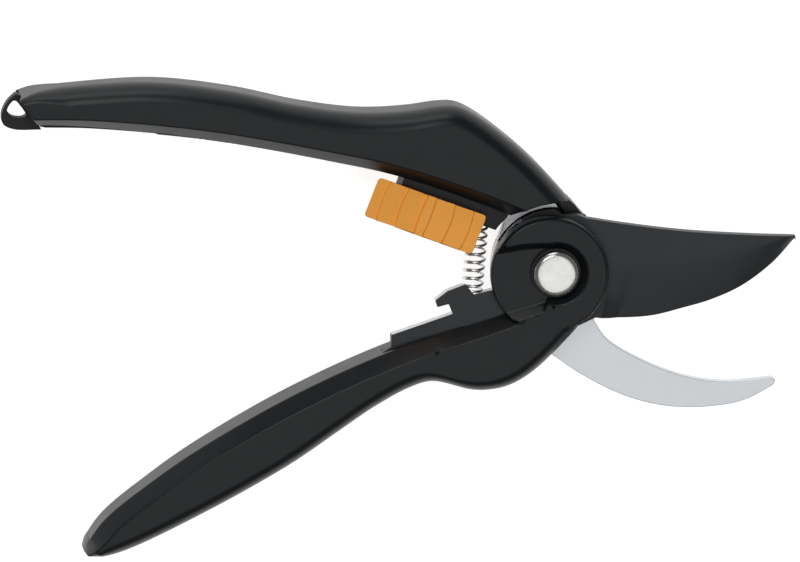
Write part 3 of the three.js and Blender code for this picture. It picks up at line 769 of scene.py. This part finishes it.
class SHEARS_OT_pivot(bpy.types.Operator):
    """Build the pivot bolt's head, its nut and the washer in the recess"""

    bl_idname = "shears.pivot"
    bl_label = "Pivot"

    def execute(self, context):
        r, top = BOLT_HIGH.x, BOLT_HIGH.z
        under = WASHER_HIGH.z + GAP
        crown = [
            ((r - 0.55 * MM) * math.cos(a), top - 0.55 * MM + 0.55 * MM * math.sin(a))
            for a in (math.pi / 2 * i / 8 for i in range(9))
        ]
        profile = [
            (0, 1.3 * MM), (2.6 * MM, 1.3 * MM), (3 * MM, 1.7 * MM), (3 * MM, under),
            (r - 0.1 * MM, under), (r, under + 0.1 * MM),
        ]
        profile += [(r, top - 1.0 * MM), (r - 0.12 * MM, top - 0.8 * MM)] + crown[:-1] + [(0, top)]
        bolt = turned(profile, "bolt", 128)
        finished(bolt, "pivot_bolt_turned", "upper_body", "polished_steel", "pivot_bolt", sharp=40.0)
        washer_r, hole_r = WASHER_HIGH.x, 3.3 * MM
        low, high, edge = WASHER_LOW.z, WASHER_HIGH.z, 0.12 * MM
        washer = turned(
            [(hole_r, low), (washer_r - edge, low), (washer_r, low + edge), (washer_r, high - edge),
             (washer_r - edge, high), (hole_r, high), (hole_r, low)],
            "washer", 96,
        )
        finished(washer, "recess_washer", "upper_body", "washer_plastic", "head_washer")
        nut = block(circle(NUT_HIGH.y / math.cos(math.pi / 6), 6), 0, NUT_HIGH.z)
        crowned = turned(
            [(0, 0), (5.0 * MM, 0), (6.6 * MM, 0.75 * MM), (6.6 * MM, 6 * MM), (0, 6 * MM)],
            "crown", 96,
        )
        combine(nut, "INTERSECT", crowned)
        cut(nut, block(circle(3.3 * MM, 48), MM, 20 * MM))
        finished(nut, "pivot_nut_crowned", "upper_body", "plated_steel", "pivot_nut", 0.1 * MM)
        return {"FINISHED"}


class SHEARS_OT_spring(bpy.types.Operator):
    """Wind the opening spring"""

    bl_idname = "shears.spring"
    bl_label = "Opening Spring"

    def execute(self, context):
        sizes = context.scene.shears_sizes
        way = SPRING_HEAD - SPRING_FOOT
        closed = 2.06 * sizes.wire
        turns = ((0.75, closed), (10.0, None), (0.75, closed))
        free = (way.length - 2 * sizes.wire - 1.5 * closed) / 10.0
        bm = bmesh.new()
        made = bmesh.ops.create_circle(bm, cap_ends=True, segments=14, radius=sizes.wire)
        bmesh.ops.rotate(
            bm, verts=made["verts"], cent=(0, 0, 0), matrix=Matrix.Rotation(math.pi / 2, 3, "X"),
        )
        bmesh.ops.translate(bm, verts=made["verts"], vec=(sizes.coil, 0, sizes.wire))
        end = bm.verts[:] + bm.edges[:] + bm.faces[:]
        for count, rise in turns:
            steps = round(count * 32)
            drawn = bmesh.ops.spin(
                bm, geom=end, cent=(0, 0, 0), axis=(0, 0, 1), angle=math.tau * count,
                dvec=(0, 0, (rise or free) * count / steps), steps=steps, use_duplicate=False,
            )
            end = drawn["geom_last"]
        turn = way.to_track_quat("Z", "Y").to_matrix().to_4x4()
        spring = place(piece_from("spring", bm), Matrix.Translation(SPRING_FOOT) @ turn)
        finished(spring, "opening_spring_wound", "upper_body", "spring_steel", "opening_spring", sharp=50.0)
        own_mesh(spring)
        return {"FINISHED"}


class SHEARS_OT_lock(bpy.types.Operator):
    """Build the scalloped lock slider"""

    bl_idname = "shears.lock"
    bl_label = "Lock Slider"

    def execute(self, context):
        sizes = context.scene.shears_sizes
        length, height = 29.2 * MM, 10.6 * MM
        step = sizes.scallop
        front = [
            (0, step * 0.4), (3.4, step * 0.9), (3.5, 0.2 * step), (8.4, step), (8.5, 0.2 * step),
            (13.5, step), (13.6, 0),
        ]
        marks = [(s * MM - length / 2, z) for s, z in front]
        marks += [(-s, z) for s, z in reversed(marks)]
        rows = []
        for i in range(13):
            y = (i / 12 - 0.5) * height
            bow = 0.5 * MM * (1 - (2 * y / height) ** 2)
            ring = []
            for s, z in marks:
                side = max(-1, min(1, s / (MM * 2)))
                inner = abs(s) < length / 2 - 0.01 * MM
                ring.append(Vector((s + bow * side if inner else s, y, LOCK_HIGH - z)))
            ring += [Vector((s, y, LOCK_LOW + z)) for s, z in reversed(marks)]
            rows.append(ring)
        slider = loft(rows)
        rings = []
        for z in (LOCK_LOW - MM, LOCK_HIGH - LEAN_EDGE, LOCK_HIGH + MM):
            rise = max(0.0, LOCK_HIGH - LEAN_EDGE - z)
            left, top = LEAN_END * rise - length / 2, height / 2 - LEAN_TOP * rise
            right, low = length / 2, -height / 2
            ring = []
            for x, y, a in ((right, top, 0), (left, top, 90), (left, low, 180), (right, low, 270)):
                at = (x - math.copysign(MM, x), y - (MM if y == top else -MM))
                ring += [p + Vector((0, 0, z)) for p in circle(MM, 7, at, a, a + 90)]
            rings.append(ring)
        combine(slider, "INTERSECT", loft(rings))
        inside = (CORE_LOW - 0.4 * MM, CORE_HIGH + 0.4 * MM)
        left, floor, far = -length / 2 + 2.2 * MM, -height / 2 + 1.5 * MM, length
        hollow = [(left, floor), (3.4 * MM, floor), (3.4 * MM, -far), (far, -far), (far, far), (left, far)]
        gap = [(-far, floor), (left, floor), (left, far), (-far, far)]
        cut(
            slider,
            block([Vector((x, y, 0)) for x, y in hollow], *inside),
            block([Vector((x, y, 0)) for x, y in gap], inside[0], END_WALL_LOW),
        )
        place(slider, LOCK_AT)
        finished(
            slider, "lock_slider_moulding", "lock", "orange_plastic", "lock_slider", 0.22 * MM, 3,
            20.0,
        )
        return {"FINISHED"}


class SHEARS_OT_small_parts(bpy.types.Operator):
    """Give the pins, the bush, the nut washer and the return spring their finishes"""

    bl_idname = "shears.small_parts"
    bl_label = "Small Parts"

    def execute(self, context):
        slots = {
            "pivot_bush": "plated_steel", "nut_washer": "plated_steel", "lock_return_spring": "spring_steel",
            "hook_tang_pin_1": "pin_steel", "hook_tang_pin_2": "pin_steel",
            "blade_tang_pin_1": "pin_steel", "blade_tang_pin_2": "pin_steel",
        }
        for name, slot in slots.items():
            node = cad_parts[name]
            node.data.materials.clear()
            node.data.materials.append(finish(slot))
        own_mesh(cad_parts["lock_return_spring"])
        return {"FINISHED"}


class SHEARS_OT_stage(bpy.types.Operator):
    """Set out the pale floor, the soft lights and the camera"""

    bl_idname = "shears.stage"
    bl_label = "Stage"

    def execute(self, context):
        scene = context.scene
        scene.view_settings.view_transform = "Standard"
        bm = bmesh.new()
        bmesh.ops.create_grid(bm, x_segments=1, y_segments=1, size=2.5)
        bmesh.ops.translate(bm, verts=bm.verts, vec=(0, 0, -0.2 * MM))
        floor = piece_from("floor", bm)
        paint = bpy.data.materials.new("floor_white")
        paint.use_nodes = True
        shader = paint.node_tree.nodes["Principled BSDF"]
        shader.inputs["Base Color"].default_value = (0.5, 0.5, 0.5, 1)
        shader.inputs["Roughness"].default_value = 0.9
        shader.inputs["Emission Color"].default_value = (1, 1, 1, 1)
        shader.inputs["Emission Strength"].default_value = 0.85
        floor.data.materials.append(paint)
        world = bpy.data.worlds.new("studio")
        world.use_nodes = True
        world.node_tree.nodes["Background"].inputs["Color"].default_value = (1, 1, 1, 1)
        world.node_tree.nodes["Background"].inputs["Strength"].default_value = 0.15
        scene.world = world
        for name, place_at, size, power in (
            ("overhead", (0.12, -0.25, 1.15), 1.1, 4.6),
            ("key", (-0.25, 0.55, 0.75), 0.5, 3.4),
            ("rim", (-0.1, 0.85, 0.10), 0.4, 1.6),
        ):
            light = bpy.data.lights.new(name, "AREA")
            light.energy, light.size = power, size
            lamp = bpy.data.objects.new(name, light)
            lamp.location = place_at
            aim = Vector((-0.03, 0, 0)) - Vector(place_at)
            lamp.rotation_euler = aim.to_track_quat("-Z", "Y").to_euler()
            lamp.visible_camera = False
            scene.collection.objects.link(lamp)
        lean = (-math.tan(math.radians(7)), math.tan(math.radians(13)), 1)
        back = Vector(lean).normalized()
        right = Vector((back.z, 0, -back.x)).normalized()
        up = back.cross(right)
        lens = bpy.data.cameras.new("camera")
        lens.lens, lens.sensor_width = 600, 36
        distance = 0.2 * lens.lens / lens.sensor_width
        lens.clip_start, lens.clip_end = 0.01, 60
        camera = bpy.data.objects.new("camera", lens)
        target = Vector((0, 0, BOLT_HIGH.z)) + right * (-39.25 * MM) + up * (-1.5 * MM)
        pose = Matrix((right, up, back)).transposed().to_4x4()
        camera.matrix_world = Matrix.Translation(target + back * distance) @ pose
        scene.collection.objects.link(camera)
        scene.camera = camera
        return {"FINISHED"}


OPERATORS = (
    SHEARS_OT_upper_handle,
    SHEARS_OT_lower_handle,
    SHEARS_OT_cores,
    SHEARS_OT_blades,
    SHEARS_OT_pivot,
    SHEARS_OT_spring,
    SHEARS_OT_lock,
    SHEARS_OT_small_parts,
    SHEARS_OT_stage,
)


class SHEARS_PT_panel(bpy.types.Panel):
    """The sizes and colours of the shears, and a button for each piece"""

    bl_idname = "SHEARS_PT_panel"
    bl_label = "Pruning Shears"
    bl_space_type = "VIEW_3D"
    bl_region_type = "UI"
    bl_category = "Shears"

    def draw(self, context):
        for group in (context.scene.shears_sizes, context.scene.shears_colours):
            column = self.layout.column(align=True)
            for name in group.__annotations__:
                column.prop(group, name)
        for operator in OPERATORS:
            self.layout.operator(operator.bl_idname)


CLASSES = (ShearsSizes, ShearsColours, *OPERATORS, SHEARS_PT_panel)


def register():
    for cls in CLASSES:
        bpy.utils.register_class(cls)
    bpy.types.Scene.shears_sizes = PointerProperty(type=ShearsSizes)
    bpy.types.Scene.shears_colours = PointerProperty(type=ShearsColours)


def unregister():
    del bpy.types.Scene.shears_colours
    del bpy.types.Scene.shears_sizes
    for cls in reversed(CLASSES):
        bpy.utils.unregister_class(cls)


def main():
    register()
    for operator in OPERATORS:
        family, name = operator.bl_idname.split(".")
        getattr(getattr(bpy.ops, family), name)()


if __name__ == "__main__":
    main()
